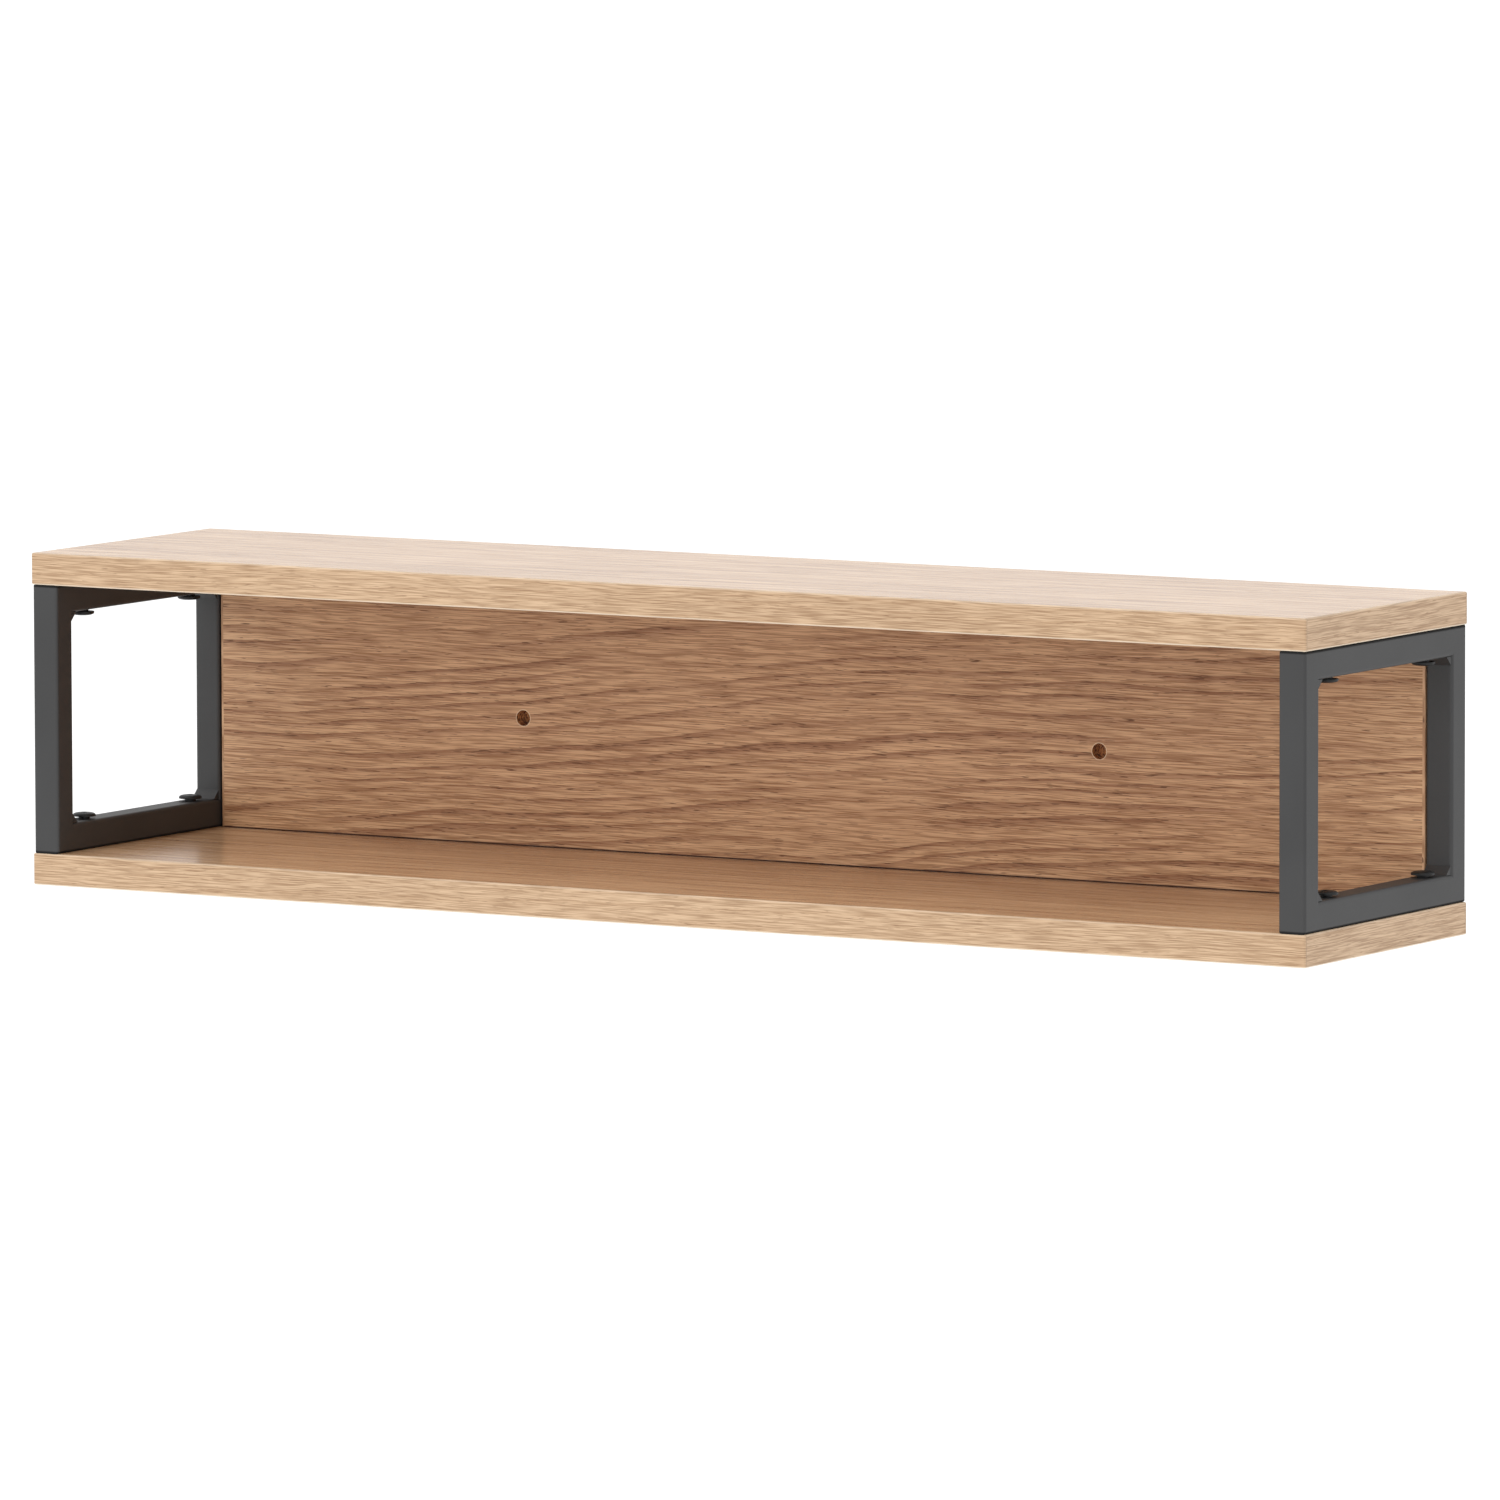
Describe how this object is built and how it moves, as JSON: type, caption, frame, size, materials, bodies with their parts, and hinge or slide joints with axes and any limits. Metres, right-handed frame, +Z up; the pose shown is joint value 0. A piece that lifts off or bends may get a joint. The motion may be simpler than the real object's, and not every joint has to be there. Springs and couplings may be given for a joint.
{
  "type": "wall shelf",
  "caption": "Open wall shelf: oak-faced top and bottom boards held apart by a back panel with wall screw holes and a welded square-tube frame at each end.",
  "frame": {"origin": "middle of the shelf's underside (centre of the bottom of its box)", "axes": "+X along the shelf to the right as seen from the room, +Y towards the wall, +Z up"},
  "size_m": [1, 0.225, 0.23],
  "materials": {
    "oak_board": "oak decor on chipboard, satin",
    "oak_panel": "oak decor on chipboard, satin",
    "oak_edge_band": "oak-print ABS edge band, satin",
    "frame_powder_coat": "fine-texture anthracite powder coat on steel tube",
    "bolt_black": "black coated steel, semi-gloss",
    "insert_zinc": "zinc-plated steel",
    "cam_zinc": "die-cast zinc, dull",
    "cam_bolt_steel": "zinc-plated steel",
    "beech_dowel": "plain beech, unfinished"
  },
  "bodies": {
    "root": {"bottom_board": "oak_board", "bottom_board_front_edge_band": "oak_edge_band", "bottom_board_back_edge_band": "oak_edge_band", "bottom_board_left_edge_band": "oak_edge_band", "bottom_board_right_edge_band": "oak_edge_band", "top_board": "oak_board", "top_board_front_edge_band": "oak_edge_band", "top_board_back_edge_band": "oak_edge_band", "top_board_left_edge_band": "oak_edge_band", "top_board_right_edge_band": "oak_edge_band", "back_panel": "oak_panel", "back_panel_left_edge_band": "oak_edge_band", "back_panel_right_edge_band": "oak_edge_band", "bottom_board_inserts": "insert_zinc", "top_board_inserts": "insert_zinc", "cam_locks": "cam_zinc", "cam_bolts": "cam_bolt_steel", "wood_dowels": "beech_dowel", "left_frame_front_post": "frame_powder_coat", "left_frame_back_post": "frame_powder_coat", "left_frame_bottom_rail": "frame_powder_coat", "left_frame_top_rail": "frame_powder_coat", "left_frame_welds": "frame_powder_coat", "left_frame_bolts": "bolt_black", "right_frame_front_post": "frame_powder_coat", "right_frame_back_post": "frame_powder_coat", "right_frame_bottom_rail": "frame_powder_coat", "right_frame_top_rail": "frame_powder_coat", "right_frame_welds": "frame_powder_coat", "right_frame_bolts": "bolt_black"}
  },
  "joints": []
}
